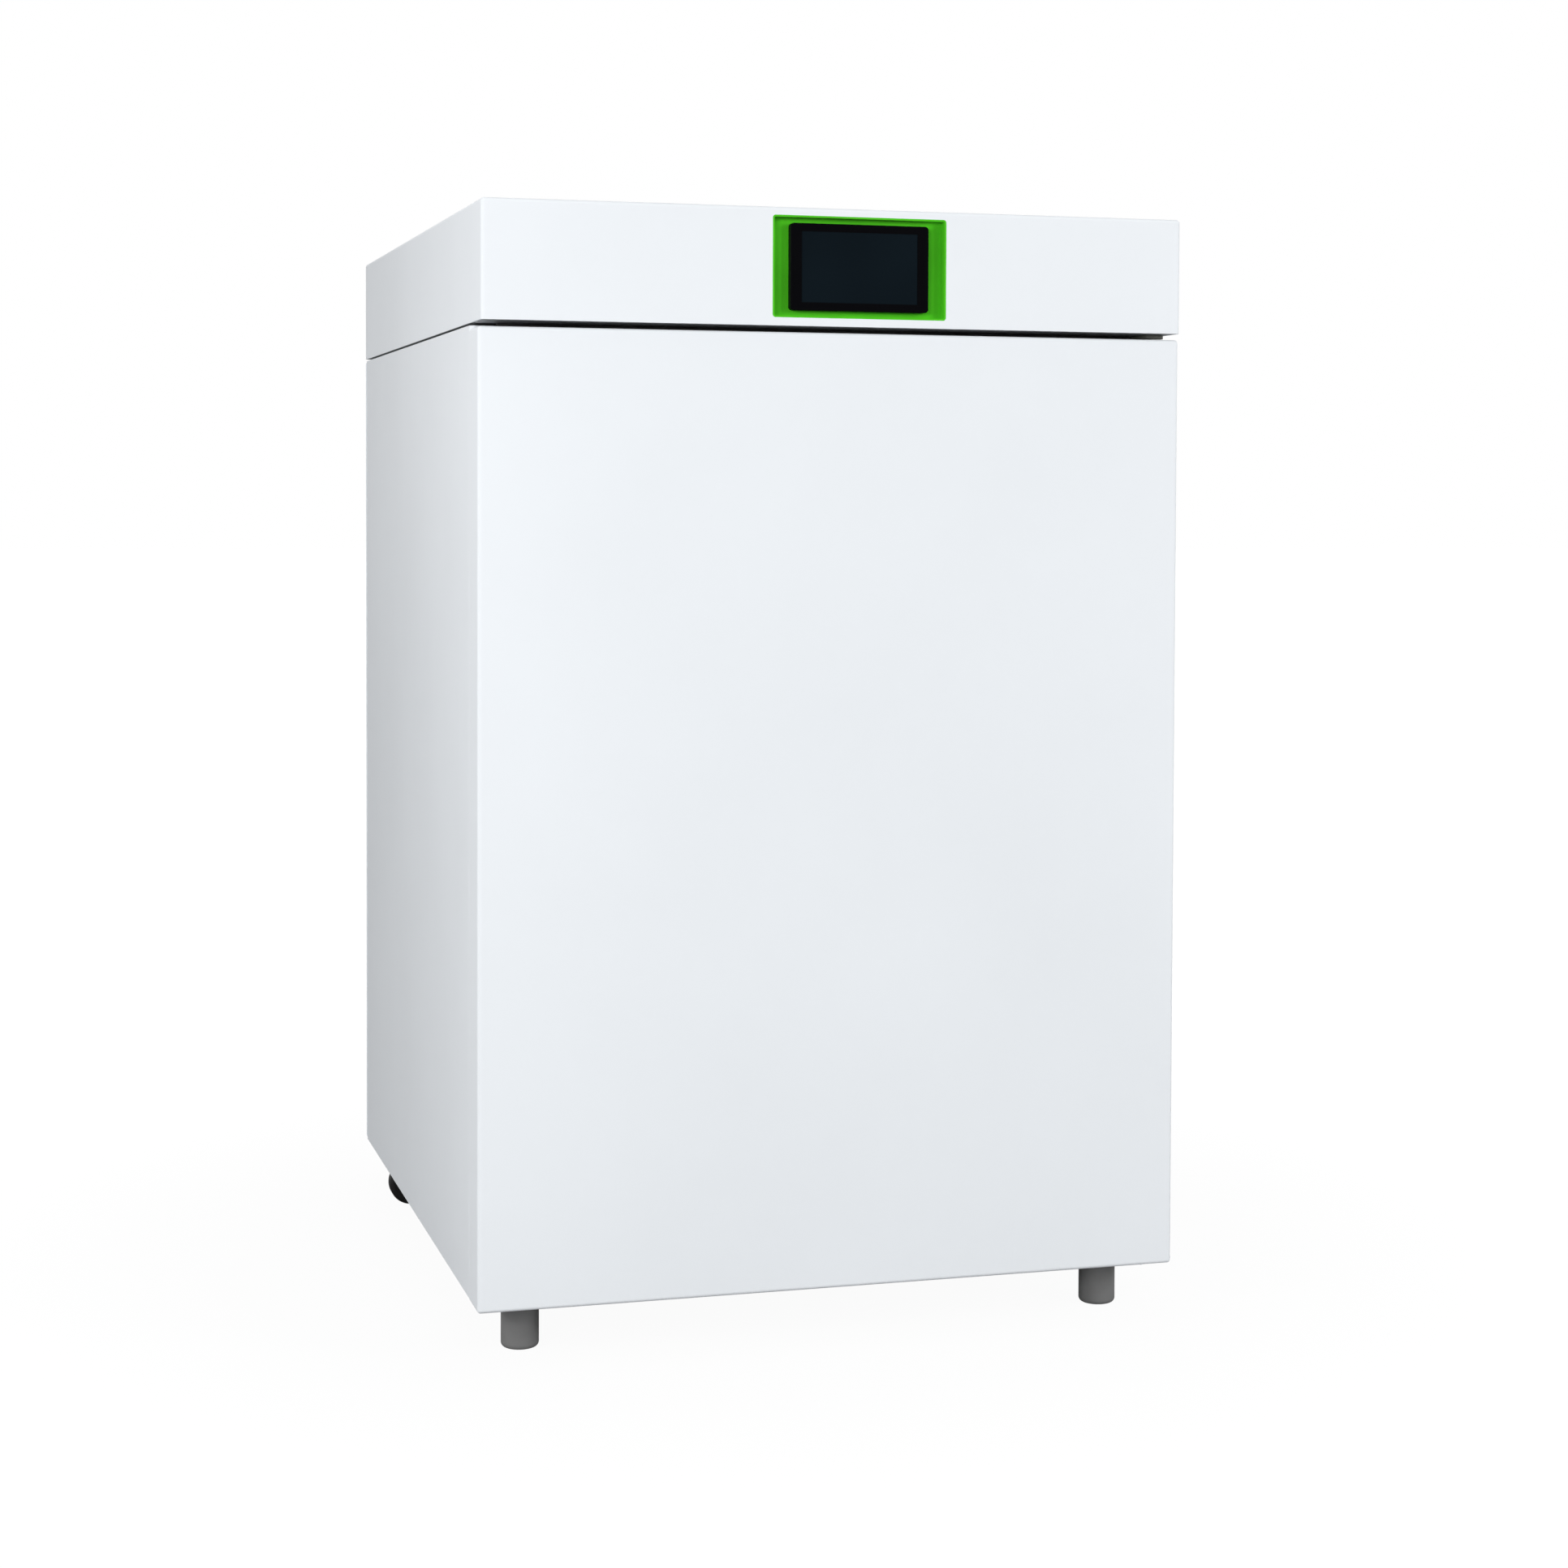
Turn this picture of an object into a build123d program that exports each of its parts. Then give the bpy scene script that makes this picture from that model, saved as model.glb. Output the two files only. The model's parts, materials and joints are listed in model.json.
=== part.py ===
from build123d import *
import os
from math import cos, hypot, pi, radians, sin, sqrt

os.makedirs("parts", exist_ok=True)

# Millimetres. X runs to the right, Y to the back, Z up from the floor, and the origin lies on the floor
# under the middle of the incubator.

# Overall size
body_width = 590.0
body_depth = 665.0
body_height = 924.0
ground_clearance = 44.0

# Sheet metal of the case
case_sheet = 1.5
bend_radius = 1.5
side_bend = 3.5
touch = 0.3

# Control head
head_height = 95.0
head_gap = 2.0
head_flange = 15.0
connector_recess = 25.0
head_pad_radius = 15.0
head_pad_inset = 60.0

# Touch screen in the head's face
screen_centre_x = 14.7
recess_width = 147.0
recess_height = 82.0
recess_depth = 7.0
recess_wall = 1.5
recess_radius = 1.0
bezel_width = 117.0
bezel_height = 70.0
bezel_setback = 0.6
bezel_radius = 3.0
display_width = 98.0
display_height = 57.0
display_glass = 1.8

# Outer door
door_outset = 1.5
door_setback = 6.0
door_thickness = 39.0
door_gap = 6.0
door_head_gap = 4.8
door_liner_sheet = 2.0
door_panel_depth = 5.0
door_heater_sheet = 0.8
gasket_margin = 7.0
gasket_width = 12.0
gasket_edge = 1.5

# Outer door hinge
hinge_inset_x = 15.5
hinge_inset_y = 19.5
hinge_pin_radius = 4.0
hinge_pin_reach = 18.0
hinge_plate = 3.0
hinge_plate_width = 18.0
hinge_tail = 42.0
hinge_leg = 45.0
hinge_leg_width = 32.0
hinge_pocket_gap = 1.0
bush_wall = 3.0
bush_flange = 0.8
running_clearance = 0.05

# Cabinet
side_return = 34.0
rear_return = 20.0
deck_flange = 14.0
base_drop = 8.0
trim_thickness = 2.0
trim_height = 12.0
trim_inset = 21.0

# Chamber, 400 by 400 by 500 inside, set by the space that the walls take round it
side_wall = 95.0
rear_wall = 182.5
roof_space = 178.0
chamber_rise = 105.0
chamber_sheet = 1.0
cove_radius = 18.0
mouth_setback = 31.5
mouth_margin = 32.0
mouth_radius = 24.0
heater_sheet = 1.5
heater_margin = 24.0
insulation_top = 60.0
insulation_back = 50.0

# Shelf rack
upright_width = 20.0
upright_depth = 8.0
upright_front = 45.0
upright_rear = 50.0
rack_sheet = 1.2
rack_slot_pitch = 35.0
rack_slot_width = 9.0
rack_slot_height = 4.0
ledge_width = 14.0
ledge_height = 14.0
shelf_rise = 110.0
shelf_headroom = 91.0
shelf_count = 3

# Shelves and water pan
shelf_front = 20.0
shelf_lip = 10.0
shelf_clearance = 1.0
shelf_sheet = 1.2
slot_length = 44.0
slot_width = 11.0
slot_bridge = 12.0
slot_row_gap = 22.0
pan_front = 26.0
pan_height = 42.0
pan_sheet = 1.0
pan_rim = 5.0
pan_back_gap = 12.0

# Air circulation
duct_depth = 25.0
duct_margin = 70.0
duct_rise = 34.0
plenum_height = 45.0
plenum_margin = 50.0
plenum_length = 165.0
duct_sheet = 1.0
impeller_radius = 52.0
impeller_eye = 28.0
impeller_height = 26.0
impeller_sheet = 1.4
blade_count = 11
blade_sweep = 38.0
impeller_gap = 7.0
shaft_radius = 4.0
motor_radius = 36.0
motor_height = 48.0
shaft_reach = 33.6
motor_nose_radius = 13.0
filter_radius = 64.0
filter_height = 34.0
filter_cap = 4.0
filter_core = 30.0
pleat_count = 32
pleat_depth = 6.0

# Sensors on the chamber ceiling
sensor_inset = 34.0
sensor_radius = 8.0
sensor_length = 56.0
probe_radius = 3.0
probe_length = 70.0
gland_radius = 11.0
gland_height = 4.0

# Glass inner door
glass_thickness = 5.0
glass_overlap = 18.0
seal_thickness = 8.0
seal_width = 10.0
knuckle_radius = 5.0
knuckle_length = 26.0
knuckle_gap = 1.0
glass_pin_radius = 2.5
leaf_length = 34.0
leaf_sheet = 3.0
glass_hinge_inset = 70.0
lug_sheet = 2.0
latch_inset = 16.0
latch_reach = 22.0
latch_width = 10.0
latch_sheet = 2.0
keeper_reach = 10.7
knob_radius = 11.0
knob_height = 13.0
knob_round = 1.4
stud_radius = 3.0
stud_length = 9.0
stud_base_radius = 9.0
stud_base_height = 2.0

# Access port through the back wall
port_inset = 44.0
port_drop = 75.0
port_radius = 21.0
port_wall = 2.0
port_lip = 1.8
cup_radius = 32.0
cup_depth = 17.0
stopper_length = 34.0
stopper_head_radius = 27.0
stopper_head = 11.0

# Connections in the back of the head
gas_port_inset = 20.0
port_spacing = 55.0
port_axis_rise = 46.0
spigot_radius = 4.0
spigot_length = 14.0
fitting_radius = 9.0
fitting_hex = 7.0
fitting_reach = 16.0
valve_width = 34.0
valve_length = 44.0
gas_tube_radius = 3.0
gas_tube_bend = 20.0
gas_tube_drop = 45.0
inlet_inset = 105.0
inlet_width = 52.0
inlet_height = 30.0
inlet_body_depth = 34.0
inlet_flange = 2.5
socket_width = 24.0
socket_height = 16.0
socket_depth = 16.0
blade_pin_length = 11.0
blade_pin_width = 4.0
blade_pin_sheet = 2.0
blade_pin_spread = 7.0
rocker_width = 11.0
rocker_height = 20.0
rocker_depth = 9.0
rocker_tilt = 12.0

# Parts inside the head
board_width = 156.0
board_depth = 118.0
board_sheet = 1.6
board_standoff = 6.0
board_margin = 12.0
supply_inset = 180.0
supply_gap = 37.0
supply_width = 96.0
supply_length = 156.0
supply_height = 36.0

# Screws of the head's rear panel and of the cabinet's back
screw_radius = 4.0
screw_height = 2.4
screw_inset = 10.0
rear_screw_inset = 30.0
rear_screw_rows = 5
screw_shank_radius = 1.7
screw_shank_length = 5.0

# Feet and casters
foot_inset_x = 43.0
foot_inset_y = 62.5
foot_radius = 15.5
foot_round = 4.0
stud_thread_radius = 5.0
stud_thread_reach = 25.0
nut_flats = 17.0
nut_height = 10.0
caster_inset_x = 51.0
caster_inset_y = 102.0
caster_offset = 22.0
wheel_radius = 21.0
wheel_width = 18.0
wheel_round = 4.0
wheel_hub_radius = 12.0
wheel_hub_recess = 1.5
axle_radius = 3.0
fork_sheet = 2.0
fork_gap = 0.6
fork_disc_radius = 14.0
fork_disc = 4.0
fork_end_radius = 6.5
kingpin_radius = 4.0
kingpin_head = 6.5
caster_plate = 2.0
caster_plate_size = 42.0

# Rear panel vents
vent_length = 70.0
vent_width = 5.0
vent_pitch = 14.0
vent_rows = 8
vent_inset = 40.0

# Levels and planes that follow from the sizes above
side_x = body_width / 2
front_y = -body_depth / 2
rear_y = body_depth / 2
head_bottom = body_height - head_height
cabinet_top = head_bottom - head_gap
cabinet_bottom = ground_clearance
door_front = front_y + door_setback
door_back = door_front + door_thickness
cabinet_front = door_back + door_gap
door_top = head_bottom - door_head_gap
door_bottom = cabinet_bottom
door_half = side_x + door_outset
inside_x = side_x - case_sheet
frame_back = cabinet_front + case_sheet
panel_front = rear_y - case_sheet
return_front = panel_front - case_sheet
bend_outer = bend_radius + case_sheet
corner_relief = bend_radius + touch
side_relief = side_bend + touch

chamber_half = side_x - side_wall
chamber_width = 2 * chamber_half
chamber_front = cabinet_front + mouth_setback
chamber_back = rear_y - rear_wall
chamber_floor = cabinet_bottom + chamber_rise
chamber_top = cabinet_top - roof_space
chamber_height = chamber_top - chamber_floor
chamber_mid = (chamber_floor + chamber_top) / 2
liner_half = chamber_half + chamber_sheet
jacket = chamber_sheet + heater_sheet
mouth_half = chamber_half + mouth_margin
mouth_height = chamber_height + 2 * mouth_margin
insulation_rear = chamber_back + jacket + insulation_back
insulation_high = chamber_top + jacket + insulation_top
pan_floor_top = cabinet_bottom + base_drop + case_sheet
base_floor = cabinet_bottom + base_drop

pin_x = door_half - hinge_inset_x
pin_y = door_front + hinge_inset_y
bush_radius = hinge_pin_radius + running_clearance + bush_wall
lower_arm_top = door_bottom + hinge_plate
pocket_top = lower_arm_top + bush_flange
upper_arm_bottom = head_bottom - hinge_plate - touch

screen_centre_z = head_bottom + head_height / 2
recess_floor = front_y + recess_depth
bezel_front = front_y + bezel_setback
head_floor_top = head_bottom + case_sheet
connector_plane = rear_y - connector_recess
connector_inside = connector_plane - case_sheet

duct_front = chamber_back - duct_depth
duct_width = 2 * (chamber_half - duct_margin)
plenum_width = 2 * (chamber_half - plenum_margin)
plenum_bottom = chamber_top - plenum_height
plenum_front = duct_front - plenum_length
fan_y = duct_front - plenum_length / 2
filter_bottom = plenum_bottom - filter_height

upright_face = chamber_half - upright_depth
runner_face = upright_face - rack_sheet
runner_front = chamber_front + shelf_front + 5 * shelf_clearance
runner_back = duct_front - 4 * shelf_clearance
shelf_half = runner_face - shelf_clearance
shelf_back = runner_back - rack_sheet
shelf_low = chamber_floor + shelf_rise
shelf_pitch = (filter_bottom - shelf_headroom - shelf_low) / (shelf_count - 1)
shelf_seats = [shelf_low + shelf_pitch * n for n in range(shelf_count)]

glass_back = chamber_front - seal_thickness
glass_front = glass_back - glass_thickness
glass_half = chamber_half + glass_overlap
glass_low = chamber_floor - glass_overlap
glass_high = chamber_top + glass_overlap
glass_pin_x = glass_half + knuckle_radius + knuckle_gap
glass_pin_y = glass_front - leaf_sheet / 2
latch_x = -glass_half + latch_inset
latch_front = glass_front - stud_base_height

port_x = chamber_half - port_inset
port_z = chamber_top - port_drop
cup_floor = panel_front - cup_depth
port_axis_z = head_bottom + port_axis_rise
gas_port_x = gas_port_inset - chamber_half
sample_port_x = gas_port_x + port_spacing
inlet_x = side_x - inlet_inset
supply_left = side_x - supply_inset
sensor_x = chamber_half - sensor_inset
fan_shaft_top = insulation_high + shaft_reach

foot_x = side_x - foot_inset_x
foot_y = front_y + foot_inset_y
foot_top = ground_clearance - touch
caster_x = side_x - caster_inset_x
caster_y = rear_y - caster_inset_y
caster_plate_low = base_floor - caster_plate
fork_top = caster_plate_low - touch
fork_low = fork_top - fork_disc


def block(x0, x1, y0, y1, z0, z1):
    """A box between two corners."""
    return Pos(x0, y0, z0) * Box(x1 - x0, y1 - y0, z1 - z0, align=(Align.MIN,) * 3)


def cylinder(radius, x, y, z0, z1):
    """An upright cylinder."""
    return Pos(x, y, z0) * Cylinder(radius, z1 - z0, align=(Align.CENTER, Align.CENTER, Align.MIN))


def cylinder_y(radius, x, z, y0, y1):
    """A cylinder that lies along Y."""
    return Pos(x, y0, z) * Rot(-90, 0, 0) * Cylinder(
        radius, y1 - y0, align=(Align.CENTER, Align.CENTER, Align.MIN)
    )


def prism_y(sketch, y0, y1):
    """A sketch drawn in X and Z, made solid from y0 to y1."""
    return extrude(Plane.XZ.offset(-y1) * sketch, y1 - y0)


def prism_z(sketch, z0, z1):
    """A sketch drawn in X and Y, made solid from z0 to z1."""
    return extrude(Plane.XY.offset(z0) * sketch, z1 - z0)


def rounded_block(bounds, radius, axis, end):
    """A box with every edge rounded except those of the face at one end of an axis."""
    shape = block(*bounds)
    flat = shape.faces().sort_by(axis)[end]
    return fillet(shape.edges() - flat.edges(), radius)


def shell(x0, x1, y0, y1, z0, z1, sheet, radius, axis, end):
    """A folded or drawn tray of one sheet, open at one end of an axis. The radius is the inside one."""
    outer = rounded_block((x0, x1, y0, y1, z0, z1), radius + sheet, axis, end)
    low = [x0 + sheet, y0 + sheet, z0 + sheet]
    high = [x1 - sheet, y1 - sheet, z1 - sheet]
    index = [Axis.X, Axis.Y, Axis.Z].index(axis)
    if end == 0:
        low[index] -= 2 * sheet
    else:
        high[index] += 2 * sheet
    inner = rounded_block(
        (low[0], high[0], low[1], high[1], low[2], high[2]), radius, axis, end
    )
    return outer - inner


def ring_y(width, height, radius, margin, z, y0, y1):
    """A rounded rectangular ring round the Y axis, margin wide outside the given opening."""
    outer = RectangleRounded(width + 2 * margin, height + 2 * margin, radius + margin)
    inner = RectangleRounded(width, height, radius)
    return prism_y(Pos(0, z) * (outer - inner), y0, y1)


def mirrored(shape):
    """The same shape on the other side of the incubator."""
    return mirror(shape, Plane.YZ)


def turned(profile, x, y, z):
    """A profile drawn in X and Z about the Z axis, spun and moved into place."""
    return Pos(x, y, z) * revolve(Plane.XZ * profile, Axis.Z)


def turned_y(profile, x, y, z):
    """A profile drawn about the Z axis, spun and laid along Y."""
    return Pos(x, y, z) * Rot(-90, 0, 0) * revolve(Plane.XZ * profile, Axis.Z)


def stepped(*steps):
    """The half profile of a stepped round piece: pairs of radius and the height where it ends."""
    points = [(0, 0)]
    height = 0
    for radius, top in steps:
        points += [(radius, height), (radius, top)]
        height = top
    points.append((0, height))
    return make_face(Polyline(*points, close=True))


# Cabinet case


def side_panel():
    """Left side panel, folded round the front and the back."""
    depth = panel_front - cabinet_front
    middle = (panel_front + cabinet_front) / 2
    outline = RectangleRounded(body_width, depth, side_bend + case_sheet) - RectangleRounded(
        body_width - 2 * case_sheet, depth - 2 * case_sheet, side_bend
    )
    ring = prism_z(Pos(0, middle) * outline, cabinet_bottom, cabinet_top)
    kept = block(-side_x, side_return - side_x, cabinet_front, middle, 0, body_height)
    kept += block(-side_x, rear_return - side_x, middle, panel_front, 0, body_height)
    holes = [
        cylinder_y(screw_shank_radius + touch, x, z, return_front - touch, panel_front)
        for x, z in rear_screw_places() if x < 0
    ]
    return (ring & kept) - holes


def rear_screw_places():
    """X and Z of the screws that hold the back cover to the side panels."""
    across = side_x - rear_return / 2
    low = cabinet_bottom + rear_screw_inset
    step = (cabinet_top - rear_screw_inset - low) / (rear_screw_rows - 1)
    return [(side * across, low + step * n) for side in (-1, 1) for n in range(rear_screw_rows)]


def countersink(grow):
    """Profile of a countersunk screw head as deep as the sheet, grown sideways for its hole."""
    narrow = screw_shank_radius + grow
    return make_face(
        Polyline((0, 0), (narrow, 0), (screw_radius + grow, case_sheet), (0, case_sheet), close=True)
    )


def rear_panel():
    """Back cover plate with two fields of vents and the hole of the access port."""
    sheet = RectangleRounded(body_width, cabinet_top - cabinet_bottom, bend_outer)
    plate = prism_y(Pos(0, (cabinet_top + cabinet_bottom) / 2) * sheet, panel_front, rear_y)
    plate -= cylinder_y(cup_radius, port_x, port_z, panel_front, rear_y)
    vent = SlotOverall(vent_length, vent_width)
    rows = [
        Pos(x, z + row * vent_pitch) * vent
        for x in (-vent_length, vent_length)
        for z in (cabinet_bottom + vent_inset, insulation_high - vent_inset)
        for row in range(vent_rows)
    ]
    plate -= [prism_y(row, panel_front, rear_y) for row in rows]
    return plate - [turned_y(countersink(touch / 3), x, panel_front, z) for x, z in rear_screw_places()]


def top_deck():
    """Top of the cabinet, a tray turned down at its rim, drilled for the gas tube."""
    deck = shell(
        -inside_x, inside_x, frame_back, return_front, cabinet_top - deck_flange, cabinet_top,
        case_sheet, side_relief, Axis.Z, 0,
    )
    hole = gas_tube_radius + touch
    return deck - cylinder(hole, gas_port_x, valve_y(), cabinet_top - deck_flange, cabinet_top)


def base_pan():
    """Bottom of the cabinet, a tray turned down at its rim, drilled for the feet."""
    pan = shell(
        -inside_x, inside_x, frame_back, return_front, cabinet_bottom, pan_floor_top,
        case_sheet, side_relief, Axis.Z, 0,
    )
    holes = [
        cylinder(stud_thread_radius + touch, x, foot_y, base_floor, pan_floor_top)
        for x in (-foot_x, foot_x)
    ]
    return pan - holes


def front_frame():
    """Face of the cabinet round the chamber, with a reveal that runs back to the chamber's flange."""
    half = side_x - side_return
    plate = block(-half, half, cabinet_front, frame_back, cabinet_bottom, cabinet_top)
    opening = RectangleRounded(2 * mouth_half, mouth_height, mouth_radius)
    plate -= prism_y(Pos(0, chamber_mid) * opening, cabinet_front, frame_back)
    return plate + ring_y(
        2 * mouth_half, mouth_height, mouth_radius, case_sheet, chamber_mid, cabinet_front, chamber_front
    )


def swing_clear(y):
    """How far right a piece with its front at y can reach beside the door's turning corner."""
    corner = hypot(door_half - pin_x, door_back - pin_y)
    return pin_x - sqrt(max(corner**2 - (y - pin_y) ** 2, 0)) - 2 * touch


def gap_trim():
    """Dark strip on the cabinet's face that closes the gap under the control head."""
    right = min(pin_x - hinge_plate_width / 2 - touch, swing_clear(cabinet_front - trim_thickness))
    strip = block(
        trim_inset - side_x, right, cabinet_front - trim_thickness, cabinet_front,
        head_bottom - touch - trim_height, head_bottom - touch,
    )
    return chamfer(strip.edges().group_by(Axis.Y)[0], touch)


# Chamber


def liner_holes():
    """What passes through the chamber's wall: fan shaft, access port and gas tube."""
    far = insulation_rear + 1
    return [
        cylinder(2 * shaft_radius, 0, fan_y, chamber_top - touch, chamber_top + chamber_sheet + touch),
        cylinder_y(port_radius + port_wall + touch / 3, port_x, port_z, chamber_back - touch, far),
        cylinder_y(gas_tube_radius + touch / 3, gas_port_x, gas_entry_z(), chamber_back - touch, far),
    ]


def chamber_liner():
    """Drawn stainless chamber with coved corners and a flange round its mouth."""
    liner = shell(
        -liner_half, liner_half, chamber_front, chamber_back + chamber_sheet,
        chamber_floor - chamber_sheet, chamber_top + chamber_sheet,
        chamber_sheet, cove_radius, Axis.Y, 0,
    )
    outside = RectangleRounded(
        2 * (mouth_half + case_sheet), mouth_height + 2 * case_sheet, mouth_radius + case_sheet
    )
    inside = RectangleRounded(chamber_width, chamber_height, cove_radius)
    liner += prism_y(
        Pos(0, chamber_mid) * (outside - inside), chamber_front, chamber_front + chamber_sheet
    )
    return liner - liner_holes()


def chamber_heaters():
    """Heating foils on the five outer faces of the chamber."""
    side = chamber_half + chamber_sheet
    edge = chamber_half - heater_margin
    front = chamber_front + heater_margin
    back = chamber_back - heater_margin
    low = chamber_floor + heater_margin
    high = chamber_top - heater_margin
    outer = chamber_back + chamber_sheet
    top = chamber_top + chamber_sheet
    bottom = chamber_floor - chamber_sheet
    right = block(side, side + heater_sheet, front, back, low, high)
    left = block(-side - heater_sheet, -side, front, back, low, high)
    lower = block(-edge, edge, front, back, bottom - heater_sheet, bottom)
    upper = block(-edge, edge, front, back, top, top + heater_sheet)
    upper -= cylinder(motor_nose_radius + touch, 0, fan_y, top, top + heater_sheet)
    rear = block(-edge, edge, outer, outer + heater_sheet, low, high)
    rear -= liner_holes()[1]
    rear -= liner_holes()[2]
    return Compound([left, right, lower, upper, rear])


def chamber_insulation():
    """Moulded insulation between the chamber and the case."""
    body = block(-inside_x, inside_x, frame_back, insulation_rear, pan_floor_top, insulation_high)
    body = fillet(body.edges().filter_by(Axis.Z), side_relief)
    grown = chamber_half + jacket
    cavity = rounded_block(
        (
            -grown, grown, frame_back, chamber_back + jacket,
            chamber_floor - jacket, chamber_top + jacket,
        ),
        cove_radius + chamber_sheet, Axis.Y, 0,
    )
    sleeve = RectangleRounded(
        2 * (mouth_half + case_sheet), mouth_height + 2 * case_sheet, mouth_radius + case_sheet
    )
    mouth = prism_y(Pos(0, chamber_mid) * sleeve, frame_back, chamber_front + chamber_sheet)
    body -= cavity
    body -= mouth
    body -= cylinder(motor_nose_radius + touch, 0, fan_y, chamber_top, insulation_high)
    body -= liner_holes()[1]
    body -= liner_holes()[2]
    pockets = [
        cylinder(nut_flats, x, foot_y, pan_floor_top, pan_floor_top + stud_thread_reach + touch)
        for x in (-foot_x, foot_x)
    ]
    return body - pockets


def rack_upright(y):
    """Slotted channel that hooks on the chamber's left wall and carries the runners."""
    low = chamber_floor + cove_radius + touch
    high = plenum_bottom
    channel = block(-chamber_half, -upright_face, y, y + upright_width, low, high)
    channel -= block(
        -chamber_half, -upright_face - rack_sheet, y + rack_sheet, y + upright_width - rack_sheet, low, high
    )
    rows = int((high - low) // rack_slot_pitch)
    middle = y + upright_width / 2
    slots = [
        block(
            -upright_face - rack_sheet, -upright_face,
            middle - rack_slot_width / 2, middle + rack_slot_width / 2,
            low + rack_slot_pitch * (row + 0.5), low + rack_slot_pitch * (row + 0.5) + rack_slot_height,
        )
        for row in range(rows)
    ]
    return channel - slots


def rack_uprights():
    """The four uprights, two on each side of the chamber."""
    left = [
        rack_upright(chamber_front + upright_front),
        rack_upright(duct_front - upright_rear),
    ]
    return Compound(left + [mirrored(one) for one in left])


def shelf_runner(seat):
    """Angle that carries the left edge of one shelf, with a stop at the back."""
    low = seat - rack_sheet
    leg = block(-upright_face, -runner_face, runner_front, runner_back, low, low + ledge_height)
    ledge = block(-upright_face, ledge_width - upright_face, runner_front, runner_back, low, seat)
    stop = block(
        -upright_face, ledge_width - upright_face, shelf_back, runner_back, low, seat + shelf_lip
    )
    return leg + ledge + stop


def shelf_runners():
    """Six runners, a pair under each shelf."""
    left = [shelf_runner(seat) for seat in shelf_seats]
    return Compound(left + [mirrored(one) for one in left])


def shelf(seat):
    """Perforated shelf, turned down all round, standing on its two runners."""
    front = chamber_front + shelf_front
    top = seat + shelf_lip
    plate = shell(
        -shelf_half, shelf_half, front, shelf_back, seat, top, shelf_sheet, bend_radius, Axis.Z, 0
    )
    columns = int((2 * shelf_half - slot_row_gap) // (slot_length + slot_bridge))
    rows = int((shelf_back - front - slot_row_gap) // (slot_width + slot_row_gap))
    step_x = slot_length + slot_bridge
    step_y = slot_width + slot_row_gap
    middle = (front + shelf_back) / 2
    slots = [
        Pos((column - (columns - 1) / 2) * step_x, middle + (row - (rows - 1) / 2) * step_y, top)
        * Box(slot_length, slot_width, 3 * shelf_sheet)
        for column in range(columns)
        for row in range(rows)
    ]
    return plate - slots


def water_pan():
    """Humidity pan on the chamber's floor, with a turned-out rim."""
    half = chamber_half - cove_radius - pan_rim
    front = chamber_front + pan_front
    back = duct_front - pan_back_gap
    top = chamber_floor + pan_height
    pan = shell(
        -half, half, front, back, chamber_floor, top, pan_sheet, cove_radius / 2, Axis.Z, -1
    )
    corner = cove_radius / 2 + pan_sheet
    size_y = back - front
    outside = RectangleRounded(2 * (half + pan_rim), size_y + 2 * pan_rim, corner + pan_rim)
    inside = RectangleRounded(2 * half, size_y, corner)
    rim = prism_z(Pos(0, (front + back) / 2) * (outside - inside), top - pan_sheet, top)
    return pan + rim


# Air circulation


def transfer_window():
    """Opening between the fan's plenum and the duct on the back wall."""
    high = chamber_top - cove_radius - 2 * duct_sheet
    return block(
        -duct_width / 4, duct_width / 4, duct_front - 2 * duct_sheet, duct_front + 2 * duct_sheet,
        plenum_bottom + 2 * duct_sheet, high - duct_sheet,
    )


def air_duct():
    """Duct on the back wall that brings the air down to the floor, with outlets at its foot."""
    low = chamber_floor + duct_rise
    high = chamber_top - cove_radius - touch
    duct = shell(
        -duct_width / 2, duct_width / 2, duct_front, chamber_back, low, high,
        duct_sheet, bend_radius, Axis.Y, -1,
    )
    columns = int(duct_width // (slot_length + slot_bridge))
    step = slot_length + slot_bridge
    outlets = [
        Pos((column - (columns - 1) / 2) * step, duct_front, low + slot_row_gap * (row + 1))
        * Box(slot_length, 3 * duct_sheet, slot_width)
        for column in range(columns)
        for row in range(2)
    ]
    return duct - outlets - transfer_window()


def fan_cover():
    """Cover of the fan's plenum on the ceiling, with the round inlet above the filter."""
    cover = shell(
        -plenum_width / 2, plenum_width / 2, plenum_front, duct_front, plenum_bottom, chamber_top,
        duct_sheet, bend_radius, Axis.Z, -1,
    )
    inlet = cylinder(filter_core, 0, fan_y, plenum_bottom - touch, plenum_bottom + 2 * duct_sheet)
    return cover - inlet - transfer_window()


def impeller_blade(height):
    """One backward-curved blade, drawn as the band between two arcs."""
    lead = radians(blade_sweep)
    start = (impeller_eye, 0)
    end = (impeller_radius * cos(lead), impeller_radius * sin(lead))
    middle_radius = (impeller_eye + impeller_radius) / 2
    middle = (middle_radius * cos(lead * 0.32), middle_radius * sin(lead * 0.32))
    arc = ThreePointArc(start, middle, end)
    turn = impeller_sheet / impeller_eye

    def turned_point(point):
        return (point[0] * cos(turn) - point[1] * sin(turn), point[0] * sin(turn) + point[1] * cos(turn))

    back = ThreePointArc(turned_point(end), turned_point(middle), turned_point(start))
    sides = [arc, Line(end, turned_point(end)), back, Line(turned_point(start), start)]
    return extrude(make_face(Curve() + sides), height)


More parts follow.
